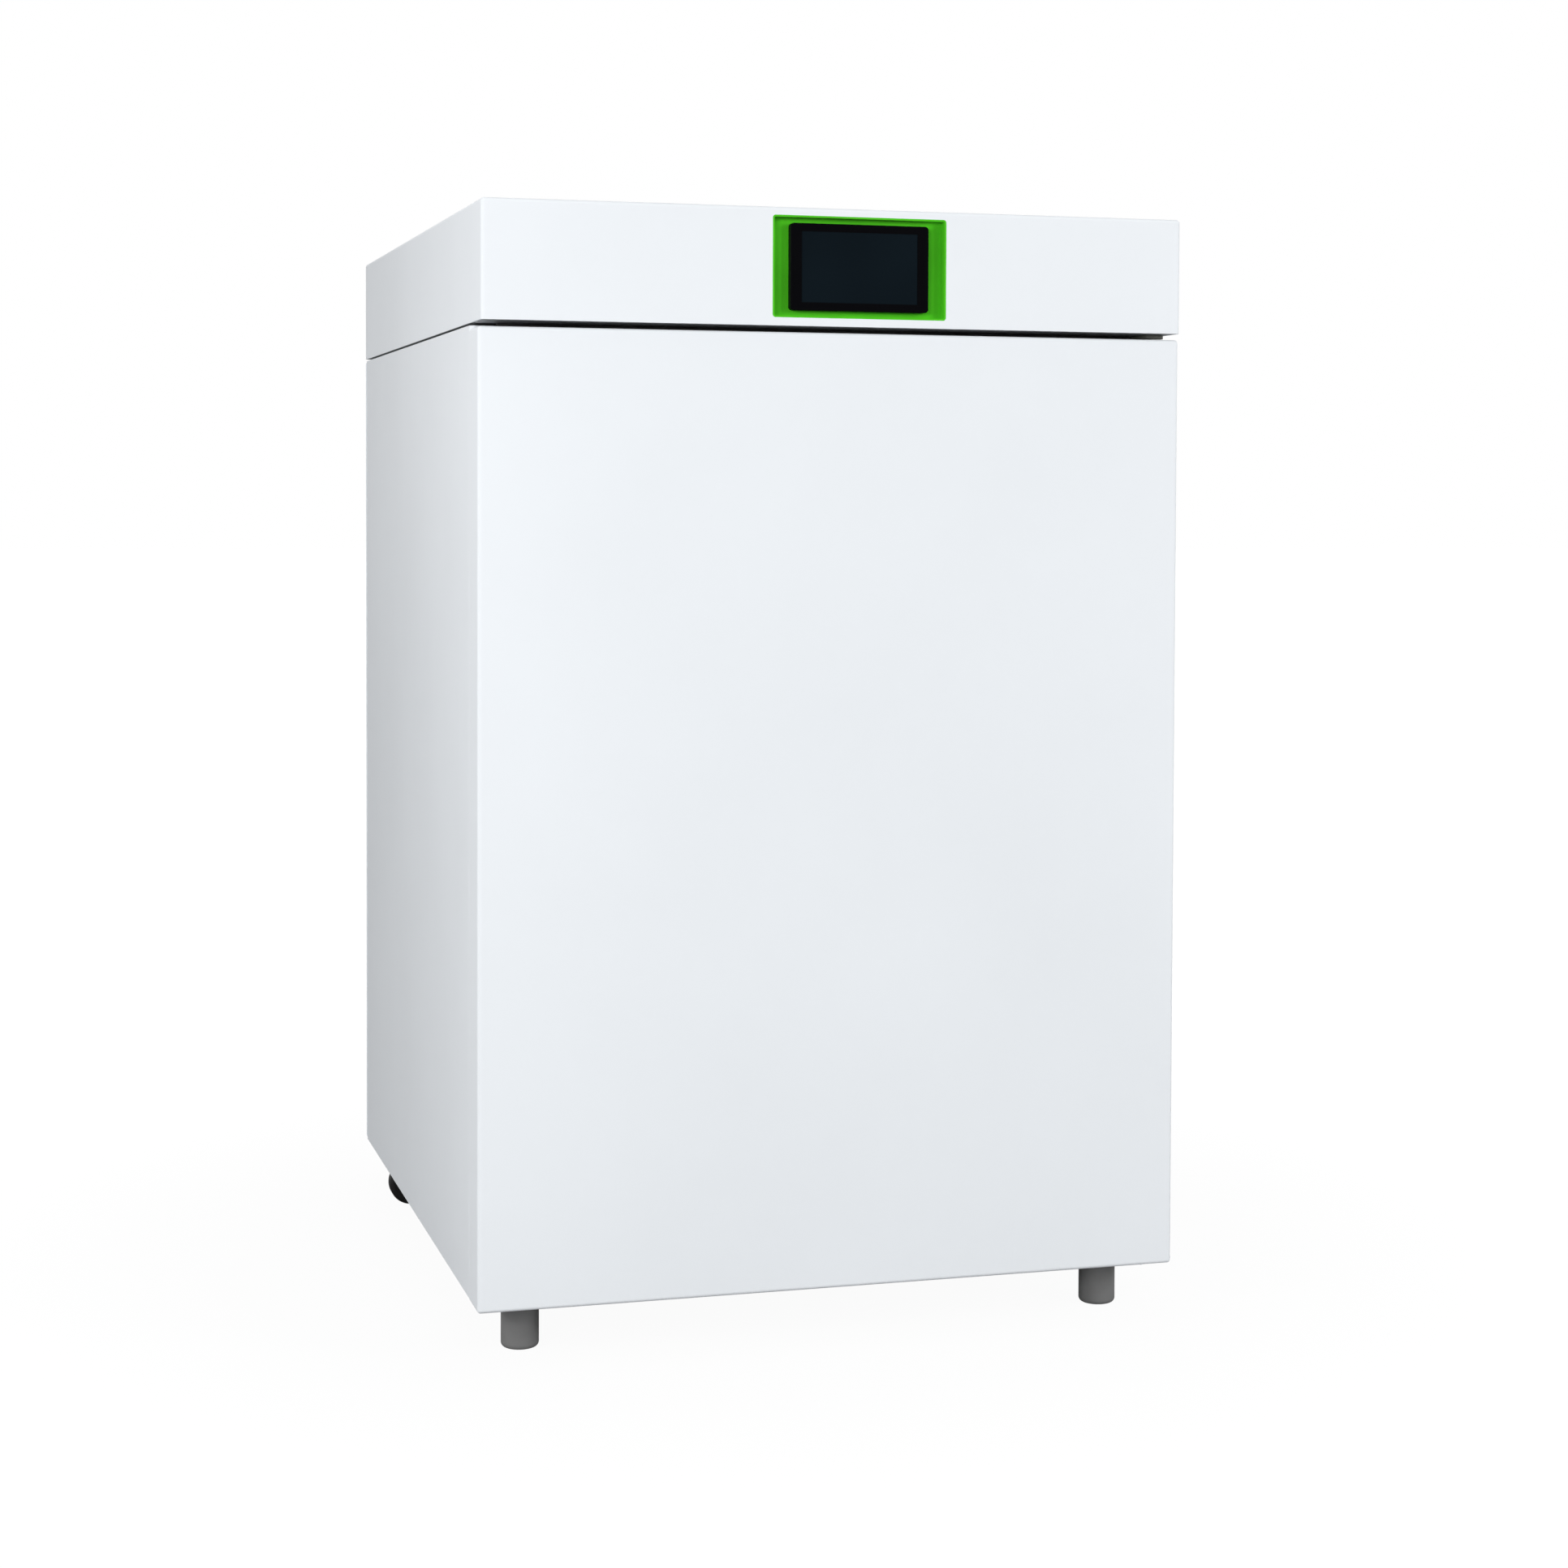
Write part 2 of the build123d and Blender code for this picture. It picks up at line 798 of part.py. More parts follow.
def fan_impeller():
    """Radial impeller: back plate, inlet ring, backward-curved blades and the shaft up to the motor."""
    low = plenum_bottom + impeller_gap
    high = low + impeller_height
    plate = cylinder(impeller_radius, 0, fan_y, high - impeller_sheet, high)
    ring = cylinder(impeller_radius, 0, fan_y, low, low + impeller_sheet)
    ring -= cylinder(impeller_eye, 0, fan_y, low, low + impeller_sheet)
    blades = [
        Pos(0, fan_y, low + impeller_sheet / 2)
        * Rot(0, 0, 360 / blade_count * n)
        * impeller_blade(impeller_height - impeller_sheet)
        for n in range(blade_count)
    ]
    hub = cylinder(2.5 * shaft_radius, 0, fan_y, high - impeller_height / 2, high)
    shaft = cylinder(shaft_radius, 0, fan_y, high - impeller_sheet, fan_shaft_top)
    return plate + ring + blades + hub + shaft


def fan_motor():
    """Motor above the insulation, with a nose that reaches down to the chamber's roof."""
    roof = chamber_top + chamber_sheet
    flange = insulation_high + 3 * case_sheet
    top = insulation_high + motor_height
    profile = stepped(
        (motor_nose_radius, insulation_high - roof),
        (motor_radius, flange - roof),
        (motor_radius - 3 * case_sheet, top - roof),
    )
    body = turned(profile, 0, fan_y, roof)
    return body - cylinder(shaft_radius + running_clearance, 0, fan_y, roof, fan_shaft_top + touch)


def hepa_filter():
    """Round filter cartridge: pleated paper between two caps, open at the top."""
    low = filter_bottom
    high = plenum_bottom
    points = []
    for n in range(2 * pleat_count):
        radius = filter_radius - filter_cap / 2 - (pleat_depth if n % 2 else 0)
        angle = pi * n / pleat_count
        points.append((radius * cos(angle), radius * sin(angle)))
    paper = make_face(Polyline(*points, close=True)) - Circle(filter_core)
    media = prism_z(Pos(0, fan_y) * paper, low + filter_cap, high - filter_cap)
    lower = cylinder(filter_radius, 0, fan_y, low, low + filter_cap)
    upper = cylinder(filter_radius, 0, fan_y, high - filter_cap, high)
    upper -= cylinder(filter_core, 0, fan_y, high - filter_cap, high)
    return fillet(lower.edges().group_by(Axis.Z)[0], filter_cap / 3) + media + upper


def ceiling_sensor(x, y, radius, length):
    """A sensor that hangs from the chamber's ceiling: gland, stem and rounded tip."""
    profile = stepped((radius, length - gland_height), (gland_radius, length))
    body = turned(profile, x, y, chamber_top - length)
    return fillet(body.edges().group_by(Axis.Z)[0], radius * 0.6)


# Outer door


def hinge_pocket(grow):
    """Space at the door's lower corner in which the hinge plate turns, grown by a sheet."""
    left = pin_x - hinge_plate_width / 2 - hinge_pocket_gap - grow
    front = door_front + case_sheet
    return block(left, door_half, front, door_back, door_bottom, pocket_top + grow)


def door_skin():
    """Outer shell of the door, folded from one sheet, with the hinge pocket and bush holes."""
    skin = shell(
        -door_half, door_half, door_front, door_back, door_bottom, door_top,
        case_sheet, bend_radius, Axis.Y, -1,
    )
    skin += hinge_pocket(case_sheet)
    skin -= hinge_pocket(0)
    hole = bush_radius + running_clearance
    skin -= cylinder(hole, pin_x, pin_y, pocket_top, pocket_top + case_sheet)
    return skin - cylinder(hole, pin_x, pin_y, door_top - case_sheet, door_top)


def door_liner():
    """Inner face of the door, pressed in opposite the glass door."""
    inner = door_half - case_sheet
    back_face = door_back - door_liner_sheet
    sheet = RectangleRounded(2 * inner, door_top - door_bottom - 2 * case_sheet, corner_relief)
    plate = prism_y(Pos(0, (door_top + door_bottom) / 2) * sheet, back_face, door_back)
    plate -= hinge_pocket(case_sheet)
    deep = back_face - door_panel_depth
    return plate - pressed_block(deep + door_liner_sheet, 0) + (
        pressed_block(deep, door_liner_sheet) - pressed_block(deep + door_liner_sheet, 0)
    )


def pressed_block(floor, grow):
    """The space of the pressed field in the door's inner face, grown sideways by a sheet."""
    half = chamber_half + grow
    height = chamber_height / 2 + grow
    return rounded_block(
        (-half, half, floor, door_back, chamber_mid - height, chamber_mid + height),
        door_panel_depth * 0.6 + grow * 0.5, Axis.Y, -1,
    )


def door_heater():
    """Heating foil behind the pressed field of the door."""
    back = door_back - door_liner_sheet - door_panel_depth
    half = chamber_half - heater_margin
    height = chamber_height / 2 - heater_margin
    return block(
        -half, half, back - door_heater_sheet, back, chamber_mid - height, chamber_mid + height
    )


def door_insulation():
    """Foam filling of the door."""
    inner = door_half - case_sheet
    front = door_front + case_sheet
    back = door_back - door_liner_sheet
    foam = rounded_block(
        (-inner, inner, front, back, door_bottom + case_sheet, door_top - case_sheet),
        corner_relief, Axis.Y, -1,
    )
    deep = back - door_panel_depth
    foam -= pressed_block(deep, door_liner_sheet)
    foam -= door_heater()
    foam -= hinge_pocket(case_sheet)
    reach = hinge_pin_reach + bush_wall + touch
    wide = bush_radius + touch
    foam -= cylinder(wide, pin_x, pin_y, pocket_top, pocket_top + reach)
    return foam - cylinder(wide, pin_x, pin_y, door_top - reach, door_top)


def door_gasket():
    """Magnetic gasket that fills the gap between the door and the cabinet."""
    opening = 2 * (mouth_half + gasket_margin)
    ring = ring_y(
        opening, mouth_height + 2 * gasket_margin, mouth_radius + gasket_margin,
        gasket_width, chamber_mid, door_back, cabinet_front,
    )
    return fillet(ring.edges().group_by(Axis.Y)[-1], gasket_edge)


def hinge_bush():
    """Flanged bush of the door's hinge, open side up, its flange on top."""
    length = hinge_pin_reach + bush_wall
    flange_radius = bush_radius + 1.5 * bush_flange
    profile = stepped((bush_radius, length), (flange_radius, length + bush_flange))
    bush = turned(profile, 0, 0, -length)
    return bush - cylinder(
        hinge_pin_radius + running_clearance, 0, 0, -hinge_pin_reach - touch, bush_flange
    )


def door_hinge_bushes():
    """The two bushes, pressed into the door's top and bottom."""
    upper = Pos(pin_x, pin_y, door_top) * hinge_bush()
    lower = Pos(pin_x, pin_y, pocket_top) * Rot(180, 0, 0) * hinge_bush()
    return Compound([upper, lower])


def hinge_tongue(back):
    """Plan of a hinge plate: a tongue round the pin that runs back to the given depth."""
    length = back - pin_y
    tongue = Pos(pin_x, pin_y + length / 2) * Rectangle(hinge_plate_width, length)
    return tongue + Pos(pin_x, pin_y) * Circle(hinge_plate_width / 2)


def door_hinge_brackets():
    """Upper hinge plate on the deck and lower one on the cabinet's face, each with its pin."""
    arm_top = head_bottom - touch
    upper = prism_z(hinge_tongue(cabinet_front - touch), upper_arm_bottom, arm_top)
    upper += prism_z(hinge_tongue(cabinet_front + hinge_tail), cabinet_top, arm_top)
    upper += cylinder(hinge_pin_radius, pin_x, pin_y, door_top - hinge_pin_reach, upper_arm_bottom)

    leg_front = cabinet_front - hinge_plate
    leg_right = swing_clear(leg_front)
    leg_left = leg_right - hinge_leg_width
    arm_right = pin_x + hinge_plate_width / 2
    lower = prism_z(hinge_tongue(cabinet_front), door_bottom, lower_arm_top)
    lower += block(leg_left, arm_right, leg_front, cabinet_front, door_bottom, lower_arm_top)
    lower += block(leg_left, leg_right, leg_front, cabinet_front, door_bottom, door_bottom + hinge_leg)
    lower += cylinder(hinge_pin_radius, pin_x, pin_y, door_bottom, pocket_top + hinge_pin_reach)
    return Compound([upper, lower])


# Glass door


def glass_hinge_levels():
    """Middle heights of the two small hinges."""
    return [glass_low + glass_hinge_inset, glass_high - glass_hinge_inset]


def glass_pane():
    """Toughened pane of the inner door, with rounded corners."""
    outline = RectangleRounded(2 * glass_half, glass_high - glass_low, glass_overlap / 2)
    return prism_y(Pos(0, chamber_mid) * outline, glass_front, glass_back)


def glass_seal():
    """Silicone seal on the back of the pane, pressed on the chamber's flange."""
    gap = (glass_overlap - seal_width) / 2
    ring = ring_y(
        chamber_width + 2 * gap, chamber_height + 2 * gap, cove_radius, seal_width,
        chamber_mid, glass_back, chamber_front,
    )
    return fillet(ring.edges().group_by(Axis.Y)[-1], seal_width / 4)


def glass_fittings():
    """Hinge leaves and the stud of the latch, bonded to the pane."""
    pieces = []
    for z in glass_hinge_levels():
        low = z - knuckle_length / 2
        high = z + knuckle_length / 2
        leaf_front = glass_front - leaf_sheet
        leaf = block(glass_pin_x - leaf_length, glass_pin_x, leaf_front, glass_front, low, high)
        knuckle = cylinder(knuckle_radius, glass_pin_x, glass_pin_y, low, high)
        bore = cylinder(glass_pin_radius + running_clearance, glass_pin_x, glass_pin_y, low, high)
        pieces.append(leaf + knuckle - bore)
    stud = stepped((stud_base_radius, stud_base_height), (stud_radius, stud_length))
    pieces.append(Pos(latch_x, glass_front, chamber_mid) * Rot(90, 0, 0) * revolve(Plane.XZ * stud, Axis.Z))
    return Compound(pieces)


def glass_hinge_posts():
    """Lugs on the reveal that hold the pins of the glass door."""
    pieces = []
    for z in glass_hinge_levels():
        reach = knuckle_length / 2 + touch
        back = glass_pin_y - knuckle_radius
        front = glass_pin_y + knuckle_radius
        length = mouth_half - glass_pin_x
        plan = Pos(glass_pin_x, glass_pin_y) * Circle(knuckle_radius)
        plan += Pos(glass_pin_x + length / 2, glass_pin_y) * Rectangle(length, 2 * knuckle_radius)
        ears = [prism_z(plan, low, low + lug_sheet) for low in (z - reach - lug_sheet, z + reach)]
        spine = block(
            mouth_half - lug_sheet, mouth_half, back, front, z - reach - lug_sheet, z + reach + lug_sheet
        )
        pin = cylinder(
            glass_pin_radius, glass_pin_x, glass_pin_y, z - reach - lug_sheet, z + reach + lug_sheet
        )
        pieces.append(spine + ears + pin)
    return Compound(pieces)


def glass_latch():
    """Turning knob with a blade that points down when it is free and sideways when it holds."""
    knob = stepped((knob_radius, knob_height))
    body = Pos(latch_x, latch_front, chamber_mid) * Rot(90, 0, 0) * revolve(Plane.XZ * knob, Axis.Z)
    front = latch_front - knob_height
    body = fillet(body.edges().group_by(Axis.Y)[0], knob_round)
    blade = Pos(latch_x, chamber_mid - latch_reach / 2) * Rectangle(latch_width, latch_reach)
    tip = Pos(latch_x, chamber_mid - latch_reach) * Circle(latch_width / 2)
    body += prism_y(blade + tip, latch_front - latch_sheet, latch_front)
    for side in (-1, 1):
        x = latch_x + side * knob_radius * 1.05
        body -= cylinder_y(
            knob_radius * 0.6, x, chamber_mid, front - touch, latch_front - latch_sheet - touch
        )
    bore_front = glass_front - stud_length - touch
    return body - cylinder_y(
        stud_radius + running_clearance, latch_x, chamber_mid, bore_front, latch_front
    )


def latch_keeper():
    """Hook on the left reveal that the latch's blade turns behind."""
    blade_front = latch_front - latch_sheet
    hook_back = blade_front - touch
    hook_front = hook_back - lug_sheet
    low = chamber_mid - latch_width / 2
    high = chamber_mid + latch_width / 2
    wall = -mouth_half
    plate = block(wall, wall + lug_sheet, hook_front, glass_back, low, high)
    return plate + block(wall, wall + keeper_reach, hook_front, hook_back, low, high)


# Control head


def head_cover():
    """Cover of the control head: front, top and sides of one sheet, cut out for the screen."""
    cover = shell_of_head(0, bend_outer) - shell_of_head(case_sheet, bend_radius)
    return cover - prism_y(tray_outline(), front_y, front_y + case_sheet)


def tray_outline():
    """Outline of the tray behind the screen, and of the window that it fills."""
    outline = RectangleRounded(recess_width, recess_height, recess_radius + recess_wall)
    return Pos(screen_centre_x, screen_centre_z) * outline


def shell_of_head(inset, radius):
    """The head's outline pushed in by an inset, open at the bottom and the back."""
    shape = block(
        inset - side_x, side_x - inset, front_y + inset, rear_y + inset,
        head_bottom - inset, body_height - inset,
    )
    front_sides = shape.edges().filter_by(Axis.Z).group_by(Axis.Y)[0]
    top = shape.edges().group_by(Axis.Z)[-1]
    top_edges = top.filter_by(Axis.Y) + top.filter_by(Axis.X).group_by(Axis.Y)[0]
    return fillet(front_sides + top_edges, radius)


def head_base():
    """Floor of the control head, turned up inside the cover, on four pressed pads."""
    inner = inside_x
    tray = shell(
        -inner, inner, front_y + case_sheet, rear_y + bend_outer, head_bottom, head_bottom + head_flange,
        case_sheet, corner_relief, Axis.Z, -1,
    )
    tray &= block(-inner, inner, front_y, connector_inside, head_bottom, head_bottom + head_flange)
    tray += block(-inner, inner, connector_inside - bend_outer, rear_y, head_bottom, head_floor_top)
    for x in (head_pad_inset - side_x, side_x - head_pad_inset):
        for y in (cabinet_front + head_pad_inset, rear_y - head_pad_inset):
            tray += cylinder(head_pad_radius, x, y, cabinet_top, head_bottom)
    gap = 4 * recess_wall
    window = Rectangle(recess_width + gap, recess_height + gap)
    tray -= prism_y(Pos(screen_centre_x, screen_centre_z) * window, front_y, recess_floor)
    return tray - cylinder(gas_tube_radius + touch, gas_port_x, valve_y(), cabinet_top, head_floor_top)


def head_rear_panel():
    """Recessed panel that carries the mains inlet and the gas ports."""
    plate = block(
        -inside_x, inside_x, connector_inside, connector_plane, head_floor_top, body_height - case_sheet
    )
    plate = fillet(plate.edges().filter_by(Axis.Y).group_by(Axis.Z)[-1], corner_relief)
    hole = fitting_radius / 2 + touch / 3
    for x in (gas_port_x, sample_port_x):
        plate -= cylinder_y(hole, x, port_axis_z, connector_inside, connector_plane)
    half_width = inlet_width / 2 - inlet_flange
    half_height = inlet_height / 2 - inlet_flange
    return plate - block(
        inlet_x - half_width, inlet_x + half_width, connector_inside, connector_plane,
        port_axis_z - half_height, port_axis_z + half_height,
    )


def panel_screws():
    """Pan-head screws round the head's rear panel and countersunk ones in the cabinet's back."""
    head = Pos(0, 0, screw_height / 2) * Cylinder(screw_radius, screw_height)
    head = fillet(head.edges().group_by(Axis.Z)[-1], screw_height / 2)
    socket = prism_z(RegularPolygon(screw_radius / 2, 6), screw_height / 2, screw_height)
    screw = Rot(-90, 0, 0) * (head - socket)
    across = inside_x - screw_inset
    low = head_floor_top + screw_inset
    high = body_height - case_sheet - screw_inset
    places = [(x, z) for x in (-across, -across / 3, across / 3, across) for z in (low, high)]
    flush = Rot(-90, 0, 0) * revolve(Plane.XZ * countersink(0), Axis.Z)
    flush -= Pos(0, case_sheet, 0) * Rot(-90, 0, 0) * prism_z(RegularPolygon(screw_radius / 2, 6), -0.6, 0)
    flush += Rot(90, 0, 0) * cylinder(screw_shank_radius, 0, 0, 0, screw_shank_length)
    return Compound(
        [Pos(x, connector_plane, z) * screw for x, z in places]
        + [Pos(x, panel_front, z) * flush for x, z in rear_screw_places()]
    )


def screen_recess():
    """Coloured tray behind the window, in which the screen stands."""
    inner = Pos(screen_centre_x, screen_centre_z) * RectangleRounded(
        recess_width - 2 * recess_wall, recess_height - 2 * recess_wall, recess_radius
    )
    rim = Pos(screen_centre_x, screen_centre_z) * Rectangle(
        recess_width + 3 * recess_wall, recess_height + 3 * recess_wall
    )
    tray = prism_y(tray_outline(), front_y, recess_floor + recess_wall)
    tray += prism_y(rim, front_y + case_sheet, front_y + case_sheet + recess_wall)
    return tray - prism_y(inner, front_y, recess_floor)


def screen_bezel():
    """Black frame of the touch screen, standing on the floor of its recess."""
    centre = Pos(screen_centre_x, screen_centre_z)
    outline = centre * RectangleRounded(bezel_width, bezel_height, bezel_radius)
    frame = prism_y(outline, bezel_front, recess_floor)
    frame = chamfer(frame.edges().group_by(Axis.Y)[0], touch)
    return frame - prism_y(
        centre * Rectangle(display_width, display_height), bezel_front, bezel_front + display_glass + touch
    )


def screen_glass():
    """Touch glass, let into the bezel."""
    outline = Pos(screen_centre_x, screen_centre_z) * Rectangle(display_width, display_height)
    return prism_y(outline, bezel_front + touch, bezel_front + display_glass + touch)


def display_module():
    """Display and its driver board on the back of the tray."""
    back = recess_floor + recess_wall
    centre = Pos(screen_centre_x, screen_centre_z)
    panel = prism_y(centre * Rectangle(display_width, display_height), back, back + 2 * recess_wall)
    board = prism_y(
        centre * Rectangle(bezel_width, bezel_height), back + 2 * recess_wall, back + 3 * recess_wall
    )
    plug = Pos(screen_centre_x, screen_centre_z - bezel_height / 4) * Rectangle(
        bezel_width / 4, bezel_height / 10
    )
    return panel + board + prism_y(plug, back + 3 * recess_wall, back + 6 * recess_wall)


def control_board():
    """Controller board on four stand-offs, with its larger components."""
    x0 = supply_left - supply_gap - board_width
    y0 = -board_depth / 2
    low = head_floor_top + board_standoff
    top = low + board_sheet
    step = board_margin
    board = block(x0, x0 + board_width, y0, y0 + board_depth, low, top)
    for x in (x0 + step / 2, x0 + board_width - step / 2):
        for y in (y0 + step / 2, y0 + board_depth - step / 2):
            board += cylinder(stud_radius, x, y, head_floor_top, low)
    board += block(x0 + step, x0 + 4 * step, y0 + step, y0 + 4 * step, top, top + 2 * step)
    for n in range(5):
        x = x0 + (5 + n) * step
        board += block(x, x + step / 3, y0 + step, y0 + 3 * step, top, top + step)
    for n in range(3):
        board += cylinder(step / 3, x0 + (n + 1.5) * step, y0 + 6 * step, top, top + 1.6 * step)
    middle = x0 + board_width / 2
    return board + block(middle, middle + 2 * step, step, 3 * step, top, top + board_sheet)


def power_supply():
    """Enclosed power supply on the head's floor, with a slotted lid."""
    x0 = supply_left
    y0 = -supply_length / 2
    high = head_floor_top + supply_height
    case = block(x0, x0 + supply_width, y0, y0 + supply_length, head_floor_top, high)
    case = fillet(case.edges().filter_by(Axis.Y).group_by(Axis.Z)[-1], bend_outer)
    left = x0 + vent_pitch
    right = x0 + supply_width - vent_pitch
    slots = [
        block(
            left, right, y0 + vent_pitch * (n + 1), y0 + vent_pitch * (n + 1) + vent_width,
            high - case_sheet, high,
        )
        for n in range(int(supply_length // vent_pitch) - 1)
    ]
    return case - slots


def valve_y():
    """Middle of the gas valve, and of the tube under it."""
    return connector_inside - fitting_reach - valve_length / 2


def gas_entry_z():
    """Height at which the gas tube enters the chamber."""
    return plenum_bottom - gas_tube_drop


def gas_valve():
    """Solenoid valve for the gas, standing on the head's floor."""
    half = valve_width / 2
    back = valve_y() + valve_length / 2
    body = block(
        gas_port_x - half, gas_port_x + half, back - valve_length, back,
        head_floor_top, port_axis_z + half / 2,
    )
    body = fillet(body.edges().filter_by(Axis.Z), bend_outer)
    top = port_axis_z + half / 2
    coil = cylinder(half * 0.8, gas_port_x, valve_y(), top, top + half)
    cap = cylinder(half * 0.4, gas_port_x, valve_y(), top + half, top + half * 1.3)
    return body + coil + cap


def gas_line():
    """Gas tube from the valve down behind the insulation and into the chamber."""
    start = (gas_port_x, valve_y(), head_floor_top)
    corner = (gas_port_x, valve_y(), gas_entry_z())
    end = (gas_port_x, chamber_back, gas_entry_z())
    path = FilletPolyline(start, corner, end, radius=gas_tube_bend)
    section = Plane(origin=start, z_dir=(0, 0, -1)) * Circle(gas_tube_radius)
    return sweep(section, path=path)


def gas_port(x):
    """Bulkhead fitting with a plain hose spigot outside and a socket to the valve inside."""
    inner = connector_inside - fitting_reach
    flats = connector_plane + fitting_hex
    nut = RegularPolygon(fitting_radius, 6)
    body = prism_y(Pos(x, port_axis_z) * nut, connector_plane, flats)
    body += cylinder_y(fitting_radius / 2, x, port_axis_z, inner, connector_plane)
    body += prism_y(Pos(x, port_axis_z) * nut, inner, inner + fitting_hex)
    spigot = cylinder_y(spigot_radius, x, port_axis_z, flats, flats + spigot_length)
    body += chamfer(spigot.edges().group_by(Axis.Y)[-1], touch)
    return body - cylinder_y(spigot_radius / 2, x, port_axis_z, inner, flats + spigot_length)


def gas_ports():
    """Gas inlet and sample outlet."""
    return Compound([gas_port(gas_port_x), gas_port(sample_port_x)])


def inlet_centres():
    """Middle of the mains socket and of the switch beside it."""
    return inlet_x - rocker_width / 2 - inlet_flange / 2, inlet_x + socket_width / 2 + inlet_flange / 2


def power_inlet():
    """Mains inlet with three pins and the housing of the switch."""
    centre = Pos(inlet_x, port_axis_z)
    socket_x, switch_x = inlet_centres()
    flange_back = connector_plane + inlet_flange
    flange = prism_y(
        centre * RectangleRounded(inlet_width, inlet_height, inlet_flange), connector_plane, flange_back
    )
    body = centre * Rectangle(inlet_width - 2 * inlet_flange, inlet_height - 2 * inlet_flange)
    inlet = flange + prism_y(body, flange_back - inlet_body_depth, connector_plane)
    floor = flange_back - socket_depth
    outline = Rectangle(socket_width, socket_height)
    outline = chamfer(outline.vertices().group_by(Axis.Y)[-1], socket_height / 3.2)
    inlet -= prism_y(Pos(socket_x, port_axis_z) * outline, floor, flange_back)
    for n in (-1, 0, 1):
        x = socket_x + n * blade_pin_spread
        z = port_axis_z + (0 if n else blade_pin_width / 2)
        inlet += block(
            x - blade_pin_sheet / 2, x + blade_pin_sheet / 2, floor, floor + blade_pin_length,
            z - blade_pin_width / 2, z + blade_pin_width / 2,
        )
    well = Pos(switch_x, port_axis_z) * Rectangle(rocker_width + 2 * touch, rocker_height + 4 * touch)
    return inlet - prism_y(well, flange_back - rocker_depth - touch, flange_back)


def power_rocker():
    """Rocker of the mains switch, tipped to one side at rest."""
    switch_x = inlet_centres()[1]
    flange_back = connector_plane + inlet_flange
    half = rocker_height / 2
    rise = half * sin(radians(rocker_tilt))
    profile = Polyline(
        (-half * 0.9, -rocker_depth * 0.55), (half * 0.9, -rocker_depth * 0.55),
        (half, 0), (0, rise * 0.35), (-half, rise), close=True,
    )
    corner = (switch_x + rocker_width / 2, flange_back, port_axis_z)
    side = Plane(origin=corner, x_dir=(0, 0, 1), z_dir=(-1, 0, 0))
    return extrude(side * make_face(profile), rocker_width)


# Access port


def access_port():
    """Tube from the chamber to a cup in the back panel."""
    outer = port_radius + port_wall
    points = [
        (port_radius, chamber_back - port_lip),
        (outer + port_lip, chamber_back - port_lip),
        (outer + port_lip, chamber_back),
        (outer, chamber_back),
        (outer, cup_floor - port_wall),
        (cup_radius, cup_floor - port_wall),
        (cup_radius, panel_front - port_wall),
        (cup_radius + 3 * port_wall, panel_front - port_wall),
        (cup_radius + 3 * port_wall, panel_front),
        (cup_radius - port_wall, panel_front),
        (cup_radius - port_wall, cup_floor),
        (port_radius, cup_floor),
    ]
    profile = make_face(Polyline(*points, close=True))
    return turned_y(profile, port_x, 0, port_z)


def port_stopper():
    """Silicone stopper in the cup, with a waisted grip."""
    plug = port_radius - touch
    neck = stopper_head_radius * 0.55
    grip = cup_floor + stopper_head
    points = [
        (0, cup_floor - stopper_length),
        (plug - 2 * port_wall, cup_floor - stopper_length),
        (plug, cup_floor - stopper_length * 0.6),
        (plug, cup_floor),
        (stopper_head_radius, cup_floor),
        (stopper_head_radius, cup_floor + stopper_head * 0.4),
        (neck, cup_floor + stopper_head * 0.6),
        (neck, grip),
        (0, grip),
    ]
    return turned_y(make_face(Polyline(*points, close=True)), port_x, 0, port_z)


# Feet and casters


def foot(x):
    """Levelling foot: a dark cylinder with a rounded sole and the threaded stud above it."""
    profile = stepped((foot_radius, foot_top), (stud_thread_radius, base_floor + stud_thread_reach))
    body = turned(profile, x, foot_y, 0)
    return fillet(body.edges().group_by(Axis.Z)[0], foot_round)


def base_fittings():
    """Weld nuts of the feet and mounting plates of the casters with their king pins."""
    pieces = []
    for side in (-1, 1):
        nut = prism_z(
            Pos(side * foot_x, foot_y) * RegularPolygon(nut_flats / 2, 6, major_radius=False),
            pan_floor_top, pan_floor_top + nut_height,
        )
        pieces.append(
            nut - cylinder(
                stud_thread_radius + running_clearance, side * foot_x, foot_y,
                pan_floor_top, pan_floor_top + nut_height,
            )
        )
        corner = RectangleRounded(caster_plate_size, caster_plate_size, bend_outer)
        plate = prism_z(Pos(side * caster_x, caster_y) * corner, caster_plate_low, base_floor)
        plate += cylinder(kingpin_radius, side * caster_x, caster_y, fork_low - touch, caster_plate_low)
        plate += cylinder(
            kingpin_head, side * caster_x, caster_y, fork_low - touch - caster_plate / 2, fork_low - touch
        )
        pieces.append(plate)
    return Compound(pieces)


def caster_fork():
    """Left fork: a disc under the king pin, two cheeks and the axle."""
    x = -caster_x
    axle_x = x - caster_offset
    inner = wheel_width / 2 + fork_gap
    outer = inner + fork_sheet
    disc = cylinder(fork_disc_radius, x, caster_y, fork_low, fork_top)
    bridge = block(
        axle_x - fork_end_radius, x, caster_y - outer, caster_y + outer, fork_low, fork_top
    )
    body = disc + bridge - cylinder(kingpin_radius + running_clearance, x, caster_y, fork_low, fork_top)
    cheek = make_face(
        Polyline(
            (axle_x - fork_end_radius, wheel_radius), (axle_x - fork_end_radius, fork_top),
            (x - kingpin_head, fork_top), (axle_x + fork_end_radius, wheel_radius), close=True,
        )
    ) + Pos(axle_x, wheel_radius) * Circle(fork_end_radius)
    body += prism_y(cheek, caster_y - outer, caster_y - inner)
    body += prism_y(cheek, caster_y + inner, caster_y + outer)
    return body + cylinder_y(axle_radius, axle_x, wheel_radius, caster_y - outer, caster_y + outer)


